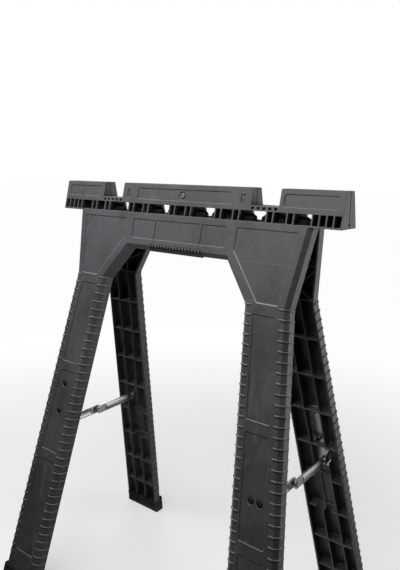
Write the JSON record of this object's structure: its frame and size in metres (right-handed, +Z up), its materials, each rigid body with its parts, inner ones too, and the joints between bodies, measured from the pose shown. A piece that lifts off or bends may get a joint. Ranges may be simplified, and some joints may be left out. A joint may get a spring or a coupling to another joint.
{
  "type": "folding sawhorse",
  "caption": "Folding plastic sawhorse: hinged frames under a notched top rail open on folding steel braces to carry timber or a work top.",
  "frame": {"origin": "on the ground under the middle of the top rail", "axes": "+X along the top rail, -Y towards the front frame, +Z up; stored open, standing on its feet"},
  "size_m": [0.5918, 0.3724, 0.75],
  "materials": {
    "frame_plastic": "moulded matte",
    "plated_steel": "zinc plated satin",
    "black_screw": "black oxide satin",
    "coated_steel": "charcoal powder coat",
    "black_cap": "black satin",
    "dull_steel": "dull zinc plated",
    "foot_rubber": "matte"
  },
  "bodies": {
    "front": {"front_frame": "frame_plastic", "hinge_pins": "black_screw", "hinge_pin_caps": "black_cap", "front_rail_stiffener": "coated_steel", "front_rail_screw": "dull_steel", "front_left_bracket": "plated_steel", "front_right_bracket": "plated_steel", "front_bracket_screws": "black_screw", "front_bracket_nuts": "plated_steel", "front_pivot_rivets": "plated_steel", "front_left_foot": "foot_rubber", "front_right_foot": "foot_rubber"},
    "rear": {"rear_frame": "frame_plastic", "rear_rail_stiffener": "coated_steel", "rear_rail_screw": "dull_steel", "rear_left_bracket": "plated_steel", "rear_right_bracket": "plated_steel", "rear_bracket_screws": "black_screw", "rear_bracket_nuts": "plated_steel", "rear_pivot_rivets": "plated_steel", "rear_left_foot": "foot_rubber", "rear_right_foot": "foot_rubber"},
    "left_front_brace": {"left_front_link": "plated_steel", "left_knee_rivet": "plated_steel"},
    "left_rear_brace": {"left_rear_link": "plated_steel", "left_knee_tail": "plated_steel"},
    "right_front_brace": {"right_front_link": "plated_steel", "right_knee_tail": "plated_steel"},
    "right_rear_brace": {"right_rear_link": "plated_steel", "right_knee_rivet": "plated_steel"}
  },
  "joints": [
    {"name": "fold", "type": "hinge", "parent": "front", "child": "rear", "pos_m": [0, 0, 0.704], "axis": [-1, 0, 0], "range_deg": [0, 25.6]},
    {"name": "left_front_brace_swing", "type": "hinge", "parent": "front", "child": "left_front_brace", "pos_m": [-0.2217, -0.09544, 0.30238], "axis": [-1, 0, 0], "range_deg": [0, 100]},
    {"name": "right_front_brace_swing", "type": "hinge", "parent": "front", "child": "right_front_brace", "pos_m": [0.2153, -0.09544, 0.30238], "axis": [-1, 0, 0], "range_deg": [0, 100]},
    {"name": "left_rear_brace_swing", "type": "hinge", "parent": "rear", "child": "left_rear_brace", "pos_m": [-0.2153, 0.09544, 0.30238], "axis": [1, 0, 0], "range_deg": [0, 100]},
    {"name": "right_rear_brace_swing", "type": "hinge", "parent": "rear", "child": "right_rear_brace", "pos_m": [0.2217, 0.09544, 0.30238], "axis": [1, 0, 0], "range_deg": [0, 100]}
  ],
  "couplings": [
    {"joint": "left_front_brace_swing", "follows": "fold", "ratio": 3.9062},
    {"joint": "right_front_brace_swing", "follows": "fold", "ratio": 3.9062},
    {"joint": "left_rear_brace_swing", "follows": "fold", "ratio": 3.9062},
    {"joint": "right_rear_brace_swing", "follows": "fold", "ratio": 3.9062}
  ]
}
